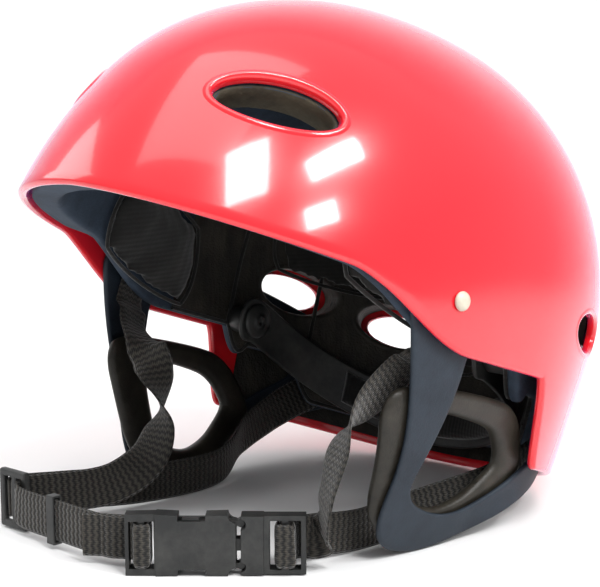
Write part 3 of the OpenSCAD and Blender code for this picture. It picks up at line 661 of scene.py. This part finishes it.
def swell(piece, cap):
    # voxel remesh, a short pressure run with gravity off, each point's travel capped, one subdivision
    remesh = piece.modifiers.new("skin", "REMESH")
    remesh.mode, remesh.voxel_size = "VOXEL", pad["voxel"] * mm
    applyAll(piece)
    rest = np.empty(len(piece.data.vertices) * 3, np.float32)
    piece.data.vertices.foreach_get("co", rest)
    cloth = piece.modifiers.new("swell", "CLOTH")
    cloth.settings.use_pressure = True
    cloth.settings.uniform_pressure_force = pad["pressure"]
    cloth.settings.mass = 0.15
    cloth.settings.tension_stiffness = cloth.settings.compression_stiffness = 12
    cloth.settings.effector_weights.gravity = 0
    cloth.collision_settings.use_collision = False
    cloth.point_cache.frame_start, cloth.point_cache.frame_end = 1, pad["frames"]
    for f in range(1, pad["frames"] + 1):
        scene.frame_set(f)
    applyAll(piece)
    scene.frame_set(1)
    now = np.empty_like(rest)
    piece.data.vertices.foreach_get("co", now)
    move = (now - rest).reshape(-1, 3)
    size = np.linalg.norm(move, axis=1, keepdims=True)
    move *= np.minimum(1, cap * mm / np.maximum(size, 1e-9))
    piece.data.vertices.foreach_set("co", (rest.reshape(-1, 3) + move).astype(np.float32).ravel())
    smooth = piece.modifiers.new("ease", "SMOOTH")
    smooth.factor, smooth.iterations = 0.5, 4
    sub = piece.modifiers.new("fine", "SUBSURF")
    sub.levels = sub.render_levels = 1
    applyAll(piece)
    piece.data.polygons.foreach_set("use_smooth", np.ones(len(piece.data.polygons), bool))


def applyAll(piece):
    # bake the live modifiers into the mesh
    deps = bpy.context.evaluated_depsgraph_get()
    mesh = bpy.data.meshes.new_from_object(piece.evaluated_get(deps))
    old = piece.data
    piece.modifiers.clear()
    piece.data = mesh
    if not mesh.materials:
        mesh.materials.append(old.materials[0])
    bpy.data.meshes.remove(old)


def pipedEdge(spec, depth, reach=1.0, count=240):
    # the patch's own border line at a given depth: a and b run round a square's four sides
    s = np.linspace(0, 4, count, endpoint=False)
    k, f = s.astype(int), s % 1 * 2 - 1
    one = np.ones(count)
    a, b = np.choose(k, [f, one, -f, -one]), np.choose(k, [-one, f, one, -f])
    return toTable(patchPoint(spec, a * reach, b * reach, depth))


padSpecs = {
    "brow_pad": {"t": -90, "z": 30, "tw": 24, "zw": 15, "d": 18.9, "thick": 7.0},
    "crown_pad": {"roof": True, "w": 37.4, "l": 52, "y": 10, "d": 19.4, "thick": 7.0},
    "temple_pad_left": {"t": -18, "z": 11, "tw": 15, "zw": 22, "lean": -9, "d": 18.9, "thick": 7.0},
    "temple_pad_right": {"t": -18, "z": 11, "tw": 15, "zw": 22, "lean": -9, "d": 18.9, "thick": 7.0, "side": -1},
    "rear_pad_left": {"t": 45, "z": 32, "tw": 27, "zw": 20, "d": 19.3, "thick": 4.9},
    "rear_pad_right": {"t": 45, "z": 32, "tw": 27, "zw": 20, "d": 19.3, "thick": 4.9, "side": -1},
    "rear_pad_centre": {"t": 90, "z": 14, "tw": 9, "zw": 33, "d": 19.3, "thick": 4.9},
}
for node, spec in padSpecs.items():
    piece = weld(makePiece("pad_" + node, [pillow(spec, 0.96)], "padCloth"))
    swell(piece, pad["cap"] if spec["thick"] > 6 else 1.6)
    belong(piece, "helmet", node)
    line = pipedEdge(spec, spec["d"] + spec["thick"] * 0.42, 0.985)
    pipe = makePiece("piping_" + node, [tube(line, pad["pipe"])], "padCloth")
    belong(pipe, "helmet")
print("pads made")

# ---- fit cradle: a band from pivot to pivot round the nape, its slots cut through

cradle = {"high": 20, "thick": 2.2, "y": 28, "z": -14, "x": 71.1, "reach": 70.1, "fall": 30,
          "slotX": 0.38, "slotZ": -27, "slotHalf": 5, "slotR": 2.5,
          "padFrom": 50, "padTo": 130, "padHalf": 8, "padGap": 0.4, "padPuff": 3.6,
          "button": [(0.001, -4.9), (3.0, -4.85), (5.2, -4.6), (7.3, -4.3), (8.2, -3.8), (8.5, -3.2), (8.5, -2.7),
                     (8.2, -2.6), (3.9, -2.6), (3.82, 0.9), (6.4, 1.0), (6.8, 1.4)],
          "dimple": [(1.6, -4.88), (1.9, -5.15), (2.7, -5.15), (3.0, -4.85)]}


def cradlePoint(a, z, d):
    # the band at angle a round the nape, z above its middle line, d inside its outer face: x holds its
    # full width at the pivots and closes in as a sine's power, y is a sine, and the middle line falls
    c = cradle
    r = np.radians(a)
    sc = np.where(np.abs(90 - a) > 82, 1, np.cos(np.pi / 2 * (1 - np.minimum(np.abs(90 - a), 82) / 82)))
    x = (c["x"] - d) * np.sign(np.cos(r)) * sc ** (2 / helmet["planQ"])
    y = c["y"] + (c["reach"] - d) * np.sin(r)
    return np.stack(np.broadcast_arrays(x, y, c["z"] - c["fall"] * np.maximum(np.sin(r), 0) ** 1.2 + z), -1)


def bandHalf(a):
    # half height of the band: round lugs at the pivots, a little deeper at the nape
    c = cradle
    end = np.minimum(a + 8, 188 - a)
    arc = np.minimum(end * 2.2, c["high"] / 2)
    rounded = np.sqrt(np.maximum(1 - (1 - np.minimum(arc / (c["high"] / 2), 1)) ** 2, 0.02))
    return c["high"] / 2 * rounded + 1.2 * np.exp(-((a - 90) / 30) ** 2)


a = np.linspace(-8, 188, 420)[None]
s = np.linspace(-1, 1, 33)[:, None]
half = bandHalf(a)


def slotRho(points):
    # distance from the nearer slot's middle line, over its radius
    c = cradle
    side = np.where(points[..., 0] > 0, 1, -1)
    x = points[..., 0] - side * c["x"] * c["slotX"]
    z = points[..., 2] - (c["z"] + c["slotZ"])
    core = np.clip(x, -c["slotHalf"], c["slotHalf"])
    rho = np.hypot(x - core, z) / c["slotR"]
    return side, core, x, z, np.where(points[..., 1] > 40, rho, 9.0)


def bandFace(d):
    # one face of the band at depth d, its points by the slots pulled onto their rims
    pts = cradlePoint(a, half * s, d)
    side, core, x, z, rho = slotRho(pts)
    hit, gone = punch(rho)
    xNew = side * cradle["x"] * cradle["slotX"] + core + (x - core) / np.maximum(rho, 1e-6)
    zNew = cradle["z"] + cradle["slotZ"] + z / np.maximum(rho, 1e-6)
    pts = np.where(hit[..., None], np.stack([xNew, pts[..., 1], zNew], -1), pts)
    faces = gridFaces(*pts.shape[:2])
    mid = pts.reshape(-1, 3)[faces].mean(1)
    return pts, keepFaces(faces, hit, gone, slotRho(mid)[4] < 1)


faceOut, facesOut = bandFace(0)
faceIn, facesIn = bandFace(cradle["thick"])


rimOut, rimIn = border(faceOut), border(faceIn)
mid, halfT = (rimOut + rimIn) / 2, np.linalg.norm(rimOut - rimIn, axis=-1, keepdims=True) / 2
away = unit(np.cross(unit(np.roll(mid, -1, 0) - np.roll(mid, 1, 0)), unit(rimOut - rimIn)))
out = unit(rimOut - rimIn)
ringArc = np.stack([mid + out * halfT * np.cos(k) + away * halfT * 0.8 * np.sin(k) for k in np.linspace(0, np.pi, 7)])


def slotWall(k):
    # the slot's own wall: its rounded outline at four depths through the band
    ang = np.linspace(0, 2 * np.pi, 56, endpoint=False)
    c = cradle
    ends = np.sign(np.cos(ang)) * (np.abs(np.cos(ang)) > 1e-6)
    x = k * c["x"] * c["slotX"] + ends * c["slotHalf"] + c["slotR"] * np.cos(ang)
    z = c["z"] + c["slotZ"] + c["slotR"] * np.sin(ang)
    rings = []
    for d in np.linspace(-0.05, c["thick"] + 0.05, 4):
        grid = cradlePoint(np.linspace(20, 160, 300), 0, d)
        rings.append(np.stack([x, np.interp(-x, -grid[:, 0], grid[:, 1]), z], -1))
    return toTable(np.stack(rings)), gridFaces(4, 56, around=True), None


parts = [(toTable(faceOut), facesOut, None), (toTable(faceIn), facesIn[:, ::-1], None),
         (toTable(ringArc), gridFaces(*ringArc.shape[:2], around=True), None), slotWall(1), slotWall(-1)]
cradlePiece = weld(makePiece("cradleBand", parts, "blackPlastic"))
belong(cradlePiece, "cradle", "rear_cradle")


def turned(profile, centre, axis, sides=64):
    # a (radius, height) profile turned about an axis: centre plus radius round it plus height along it
    axis = unit(np.array(axis, float))
    ex = unit(np.cross(axis, [0.0, 0.3, 1.0]))
    ey = np.cross(axis, ex)
    ang = np.linspace(0, 2 * np.pi, sides, endpoint=False)[None, :, None]
    pr = np.array(profile, float)
    ring = np.array(centre) + pr[:, 0, None, None] * (np.cos(ang) * ex + np.sin(ang) * ey) + pr[:, 1, None, None] * axis
    return ring, gridFaces(len(pr), sides, around=True), None


def lugPart(profile, k):
    # a profile turned about the pivot's axis, on the wearer's left for 1 and mirrored for -1
    grid, faces, uv = turned(profile, (cradle["x"], cradle["y"], cradle["z"]), (1, 0, 0))
    grid[..., 0] *= k
    return toTable(grid), faces[:, ::k], None


# the cradle's soft lining
aPad = np.linspace(cradle["padFrom"], cradle["padTo"], 120)[None]
across = np.linspace(-1, 1, 23)[:, None]
edgeFade = np.minimum(1, np.minimum(aPad - cradle["padFrom"], cradle["padTo"] - aPad) / 5)
swellPad = np.sqrt(np.maximum(1 - np.abs(across) ** 4, 0)) * np.sqrt(np.maximum(1 - (1 - edgeFade) ** 2, 0))
parts = []
for puff, turn in ((0, 1), (cradle["padPuff"], -1)):
    grid = cradlePoint(aPad, cradle["padHalf"] * across, cradle["thick"] + cradle["padGap"] + puff * swellPad)
    parts.append((toTable(grid), gridFaces(*grid.shape[:2])[:, ::turn], None))
piece = weld(makePiece("cradleLining", parts, "padCloth"))
belong(piece, "cradle", "cradle_pad")

# a domed button inside, a neck through the lug and a washer against the liner
reach = wall(12, cradle["z"], 19.5)[0] - cradle["x"]
button = cradle["button"] + [(6.8, reach - 1.0), (6.4, reach - 0.6), (0.001, reach - 0.6)]
parts = [lugPart(profile, k) for k in (1, -1) for profile in (button, cradle["dimple"])]
piece = weld(makePiece("cradleButtons", parts, "blackPlastic"))
belong(piece, "helmet", "cradle_pivots")
print("cradle made")

# ---- rivets

rivet = {"r": 4.0, "rise": 2.15, "lift": 0.75, "shank": 2.0,
         "tailR": 4.0, "tail": 10.8, "crownTail": 5.6, "crownY": -12}


def rivetPart(p, n, tail, side=1):
    # a dome whose radius is a sine's power and whose height a cosine, a rounded rim, shank and tail washer
    r, ang = rivet, np.linspace(0, np.pi / 2, 10)
    head = [(max(r["r"] * np.sin(x) ** 0.9, 0.001), r["lift"] + r["rise"] * np.cos(x)) for x in ang]
    rest = [(r["r"] - 0.15, 0.45), (r["shank"], 0.35), (r["shank"], -tail), (r["tailR"] - 0.1, -tail - 0.05),
            (r["tailR"], -tail - 0.6), (r["tailR"] - 0.3, -tail - 1.1), (0.001, -tail - 1.2)]
    grid, faces, uv = turned(head + rest, p, n, 40)
    grid[..., 0] *= side
    return toTable(grid), faces[:, ::-side], None


for node, name, at in (("temple_rivets", "templeRivets", (-12.8, 0.4)), ("nape_rivets", "napeRivets", (51, -33))):
    parts = [rivetPart(wall(*at), wallNormal(*at), rivet["tail"], side) for side in (1, -1)]
    piece = weld(makePiece(name, parts, "rivet"))
    belong(piece, "helmet", node)
crown = np.array([0, rivet["crownY"], helmet["crownH"] - 0.3])
piece = weld(makePiece("crownRivet", [rivetPart(crown, np.array([0, -0.03, 1.0]), rivet["crownTail"])], "rivet"))
belong(piece, "helmet", "crown_rivet")
print("rivets made")

# ---- webbing: a flat strap along a smooth line, rounded selvedges, ribs by its own map

web = {"wide": 18.0, "thick": 1.4, "depth": 9.2, "perSpan": 22, "across": 13}
buckle = {"turn": 41, "at": (3, -120.3, 12.5), "high": 25}
slider = {"at": np.array([-77, -112.3, 13.6])}


def bucklePoint(u, v, z):
    # u along the buckle, v away from the mouth and z up, turned and moved to the buckle's place
    c, s = math.cos(math.radians(buckle["turn"])), math.sin(math.radians(buckle["turn"]))
    u, v, z = np.broadcast_arrays(np.asarray(u, float), np.asarray(v, float), np.asarray(z, float))
    return np.stack([buckle["at"][0] + u * c - v * s, buckle["at"][1] + u * s + v * c, buckle["at"][2] + z], -1)


def smoothLine(p, per):
    # Catmull-Rom through the points, ends held: a cubic in s from each four neighbours
    p = np.array(p, float)
    q = np.concatenate([p[:1], p, p[-1:]])
    s = (np.arange(per) / per)[None, :, None]
    a, b, c, d = (q[i:len(p) - 1 + i, None] for i in range(4))
    line = 0.5 * (2 * b + (c - a) * s + (2 * a - 5 * b + 4 * c - d) * s * s + (3 * b - a - 3 * c + d) * s ** 3)
    return np.concatenate([line.reshape(-1, p.shape[1]), p[-1:]])


def runOn(run, k):
    # a strap's line on the guard's wall from bearings, heights and added depths; k is -1 on the right
    r = np.array(run, float)
    q = toTable(guardWall(r[:, 0], r[:, 1], web["depth"] + r[:, 2]))
    q[:, 0] *= k
    return q.tolist()


def runAcross(run, k, level):
    # the way across that strap: along the wall for level 1, up it for 0, turned to the table
    r, flip = np.array(run, float), np.array([k, 1, 1])
    q = (wall(r[:, 0] + level, r[:, 1] + 1 - level, web["depth"])
         - wall(r[:, 0] - level, r[:, 1] - 1 + level, web["depth"])) * flip
    return (toTable(q) - toTable(np.zeros(3))).tolist()


def strapPart(centres, widths):
    # a flat ribbon swept along the line: half thickness the root of 1 less x to the eighth, with two
    # shallow waves across; the map's u is mm across, v mm along
    wide, thick = web["wide"], web["thick"]
    c, w = smoothLine(centres, web["perSpan"]), smoothLine(widths, web["perSpan"])
    along = unit(np.gradient(c, axis=0))
    side = unit(w - along * np.sum(along * w, -1, keepdims=True))
    up = np.cross(along, side)
    n = web["across"]
    x = np.linspace(-1, 1, n)
    h = np.sqrt(np.maximum(1 - np.abs(x) ** 8, 0.0)) * (1 - 0.10 * np.cos(x * np.pi) ** 2)
    xs = np.concatenate([x, x[::-1][1:-1]]) * wide / 2
    hs = np.concatenate([h, -h[::-1][1:-1]]) * thick / 2
    pts = c[:, None] + side[:, None] * xs[None, :, None] + up[:, None] * hs[None, :, None]
    length = np.concatenate([[0], np.cumsum(np.linalg.norm(np.diff(c, axis=0), axis=-1))])
    uv = np.stack(np.broadcast_arrays(xs[None], length[:, None]), -1)
    rows, cols = pts.shape[:2]
    faces = gridFaces(rows, cols, around=True)
    caps = []
    for row, flip in ((0, False), (rows - 1, True)):
        i = np.arange(n - 1)
        quad = np.stack([i, i + 1, (cols - i - 1) % cols, (cols - i) % cols], -1) + row * cols
        caps.append(quad[:, ::-1] if flip else quad)
    return pts, np.concatenate([faces] + caps), uv


frontRun = [(-12.8, 8, 0), (-12.8, -6, 0), (-13.5, -19, 0.4), (-14.5, -24, 5), (-16, -31, 10)]
napeRun = [(57, -33, 0), (46, -37, 0), (38, -46, 1), (30, -57, 5), (20, -70, 11)]
up = [0, 0, 1]


def points(*rows):
    # rows written from the helmet's middle, moved back with it
    return [[x, y + helmet["shiftY"], z] for x, y, z in rows]


def atSlider(*rows):
    return [(slider["at"] + row).tolist() for row in rows]


def atBuckle(*rows):
    return [bucklePoint(*row).tolist() for row in rows]


# for each strap its centre line and the way across it at the same points
straps = {
    "front_strap_left": (
        runOn(frontRun, 1) + points((71, -72, 60), (66, -80, 32))
        + atBuckle((78, 6, 2), (69, 5.2, 1), (67.3, 0, 1), (66.6, -4.6, 0), (63.6, -5.2, 0), (60.6, -4.6, 0),
                   (59.9, -1.2, 0)),
        runAcross(frontRun, 1, 1) + [[-0.5, 0.8, 0.1], [-0.7, 0.5, 0.5], [-0.2, 0.1, 1]] + [up] * 6),
    "front_strap_right": (
        runOn(frontRun, -1)
        + points((-62.9, -55.6, 72.3), (-55.7, -56.9, 61), (-51.4, -58.4, 49.9), (-48.7, -62.5, 38.2),
                 (-48.7, -68.8, 27.5), (-52.3, -78.9, 19.7), (-59.4, -90.5, 15.6), (-75.5, -109.5, 14))
        + atSlider([-2.7, 6, 0], [-2.7, 0, 0]),
        runAcross(frontRun, -1, 1)
        + [[0.45, 0.75, 0.45], [0, 0.9, 0.35], [-0.62, 0.76, 0], [-0.93, -0.15, -0.08], [-0.8, -0.37, 0.27],
           [-0.43, -0.19, 0.89], [-0.1, 0, 1], up, up, up]),
    "rear_strap_left": (
        runOn(napeRun, 1) + points((58, -16, 10.6), (55, -48, 9.6))
        + atBuckle((74, 14, -1), (62, 8.2, -1), (59.8, 0, -1)),
        runAcross(napeRun, 1, 0) + [[-0.1, 0, 1]] + [up] * 4),
    "rear_strap_right": (
        runOn(napeRun, -1) + points((-58, -16, 10.6), (-64, -56, 9.6), (-77, -92, 11.6))
        + atSlider([-4.9, 7, 0], [-4.9, 0, 0]),
        runAcross(napeRun, -1, 0) + [[0.1, 0, 1]] + [up] * 4),
}
chin = (atSlider([3.6, 0, 0], [4.6, -3.6, 0]) + points((-64, -126, 12.5), (-44, -127, 12.5), (-24, -128, 12.5))
        + atBuckle((-8, 8.5, 0), (1.5, 6.2, 0), (3.4, 0, 0), (4.1, -4.3, 0), (6.5, -4.9, 0), (8.9, -4.3, 0),
                   (9.6, 0, 0), (8.8, 5.2, 0), (3.0, 8.2, 0), (-8, 10.3, 0), (-19, 11.6, 0)))
straps["chin_strap"] = (chin, [up] * len(chin))
# where the two straps on the plug stop following the helmet, and where they follow the plug alone: worked out below but
# not used, and these two straps are baked in place and given no body
pulled = {"front_strap_left": ((78, -50, 78), atBuckle((76, 6, 2))[0]),
          "rear_strap_left": ((57, 6, 11), atBuckle((78, 16, -1))[0])}
for node, (centres, widths) in straps.items():
    piece = weld(makePiece(node.replace("_", "-"), [strapPart(centres, widths)], "web"))
    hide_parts(node)
    if node in pulled:
        start, end = (tuple(c * mm for c in p) for p in pulled[node])
        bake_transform(piece)
    else:
        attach(piece, "helmet")
print("webbing made")

# ---- hardware: the moulded shapes merged, their edges rounded, their faces gently crowned

# each moulded node's rounding in mm and the body it moves with
hardware = {"buckle_female": (1.5, "helmet"), "buckle_male": (1.4, "buckle_plug"),
            "buckle_arm_upper": (0.7, "arm_upper"), "buckle_arm_lower": (0.7, "arm_lower"),
            "strap_slider": (0.9, "helmet"), "strap_keeper": (0.6, "keeper")}


def toBuckle(p):
    # the reverse of bucklePoint, on an array of table points in mm
    c, s = math.cos(math.radians(buckle["turn"])), math.sin(math.radians(buckle["turn"]))
    q = p - np.array(buckle["at"])
    return np.stack([q[:, 0] * c + q[:, 1] * s, -q[:, 0] * s + q[:, 1] * c, q[:, 2]], -1)


def rounded(node, width):
    # a merged copy of the moulded node, flat faces joined, sharp edges rounded
    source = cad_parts[node]
    bm = bmesh.new()
    bm.from_mesh(source.data)
    bm.transform(source.matrix_world)
    bmesh.ops.remove_doubles(bm, verts=bm.verts, dist=1e-6)
    bmesh.ops.dissolve_limit(bm, angle_limit=math.radians(2), verts=bm.verts, edges=bm.edges)
    mesh = bpy.data.meshes.new(node + "_round")
    bm.to_mesh(mesh)
    bm.free()
    piece = bpy.data.objects.new(node.replace("_", "-"), mesh)
    scene.collection.objects.link(piece)
    mesh.materials.clear()
    mesh.materials.append(finishes["blackPlastic"])
    bevel = piece.modifiers.new("round", "BEVEL")
    bevel.width, bevel.segments, bevel.limit_method, bevel.angle_limit = width * mm, 4, "ANGLE", math.radians(30)
    bevel.use_clamp_overlap = True
    applyAll(piece)
    piece.data.polygons.foreach_set("use_smooth", np.ones(len(piece.data.polygons), bool))
    weighted = piece.modifiers.new("shade", "WEIGHTED_NORMAL")
    weighted.keep_sharp = True
    applyAll(piece)
    return piece


for node, (width, body) in hardware.items():
    piece = rounded(node, width)
    if node.startswith("buckle"):
        flat = np.empty(len(piece.data.vertices) * 3, np.float32)
        piece.data.vertices.foreach_get("co", flat)
        q = toBuckle(flat.reshape(-1, 3) / mm)
        # faces fuller halfway up and thinner at the edges; the outline dips at the mouth
        level = (q[:, 2] / (buckle["high"] / 2)) ** 2
        crown = 1 + 0.13 * (1 - level) - 0.10 * level
        wave = 1 - 0.04 * np.exp(-((q[:, 0] - 26.5) / 7) ** 2) + 0.03 * np.exp(-((q[:, 0] - 15) / 4) ** 2)
        q = bucklePoint(q[:, 0], q[:, 1] * crown, q[:, 2] * wave)
        piece.data.vertices.foreach_set("co", (q * mm).astype(np.float32).ravel())
        piece.data.update()
    belong(piece, body, node)
print("hardware finished")

# ---- floor, light and camera

view = {"azimuth": 41, "elevation": 9, "distance": 722.2, "target": (0, 8.7, 94.6), "lens": 95.95, "sensor": 36,
        "shiftX": -0.0544, "shiftY": 0.0113}
# name, azimuth, elevation, distance, width, height, power
lamps = [("windowTall", 67, 50, 1300, 300, 380, 9), ("windowSide", 101, 42.5, 1300, 330, 150, 6),
         ("windowLow", 92, 29, 1300, 190, 150, 3.5), ("softTop", 20, 80, 1500, 1100, 1100, 9),
         ("softLeft", -60, 30, 1500, 700, 700, 5)]
room = {"strength": 0.85,
        "stops": [(0.02, (0.62, 0.6262, 0.6386, 1)), (0.30, (0.62, 0.6262, 0.6386, 1)), (1.0, (1, 1, 1, 1))]}


def sheetFloor():
    # flat floor, then a quarter ellipse up into a backdrop: profile along y, straight along x
    bend = np.linspace(0, np.pi / 2, 16)[1:]
    y = np.concatenate([np.linspace(-2500, 900, 12), 900 + 600 * np.sin(bend), [1500, 1500]])
    z = np.concatenate([np.zeros(12), 600 - 600 * np.cos(bend), [1500, 3000]])
    x = np.linspace(-3000, 3000, 12)
    a = math.radians(view["azimuth"])
    gy, gx = np.meshgrid(y, x, indexing="ij")
    gz = np.broadcast_to(z[:, None], gx.shape)
    pts = np.stack([gx * math.cos(a) - gy * math.sin(a), gx * math.sin(a) + gy * math.cos(a), gz - 0.15], -1)
    return pts, gridFaces(len(y), len(x))[:, ::-1], None


p = Paint("floorPaper")
tone = p.noise(p.place(), 3.0, 2.0)
p.finish(colour=p.blend(tone, (0.86, 0.86, 0.86, 1), (0.90, 0.90, 0.90, 1)), roughness=0.75 + 0.1 * tone, specular=0.2)
finishes["floor"] = p.mat
floorPiece = makePiece("floor", [sheetFloor()], "floor")


def awayFrom(azimuth, elevation):
    # the direction out of the target at an azimuth from the front and an elevation
    a, e = math.radians(azimuth), math.radians(elevation)
    return Vector((math.sin(a) * math.cos(e), -math.cos(a) * math.cos(e), math.sin(e)))


def stand(name, data, azimuth, elevation, distance):
    # a lamp or camera that far out, looking back at the target
    o = bpy.data.objects.new(name, data)
    away = awayFrom(azimuth, elevation)
    o.location = (Vector(view["target"]) + distance * away) * mm
    o.rotation_euler = (-away).to_track_quat("-Z", "Y").to_euler()
    scene.collection.objects.link(o)
    return o


for name, azimuth, elevation, distance, width, height, power in lamps:
    lamp = bpy.data.lights.new(name, "AREA")
    lamp.shape, lamp.size, lamp.size_y, lamp.energy = "RECTANGLE", width * mm, height * mm, power
    stand(name, lamp, azimuth, elevation, distance)

# the room: the tone rises with height
world = bpy.data.worlds.new("room")
scene.world = world
world.use_nodes = True
sky = world.node_tree
upness = sky.nodes.new("ShaderNodeSeparateXYZ")
sky.links.new(sky.nodes.new("ShaderNodeTexCoord").outputs["Generated"], upness.inputs[0])
fade = sky.nodes.new("ShaderNodeValToRGB")
fade.color_ramp.elements.new(0.5)
for stop, (place, tone) in zip(fade.color_ramp.elements, room["stops"]):
    stop.position, stop.color = place, tone
sky.links.new(upness.outputs[2], fade.inputs[0])
sky.links.new(fade.outputs[0], sky.nodes["Background"].inputs[0])
sky.nodes["Background"].inputs[1].default_value = room["strength"]
scene.view_settings.view_transform = "Standard"

camData = bpy.data.cameras.new("camera")
camData.sensor_width, camData.lens = view["sensor"], view["lens"]
camData.shift_x, camData.shift_y = view["shiftX"], view["shiftY"]
camData.clip_start, camData.clip_end = 0.01, 50
scene.camera = stand("camera", camData, view["azimuth"], view["elevation"], view["distance"])
print("stage set")
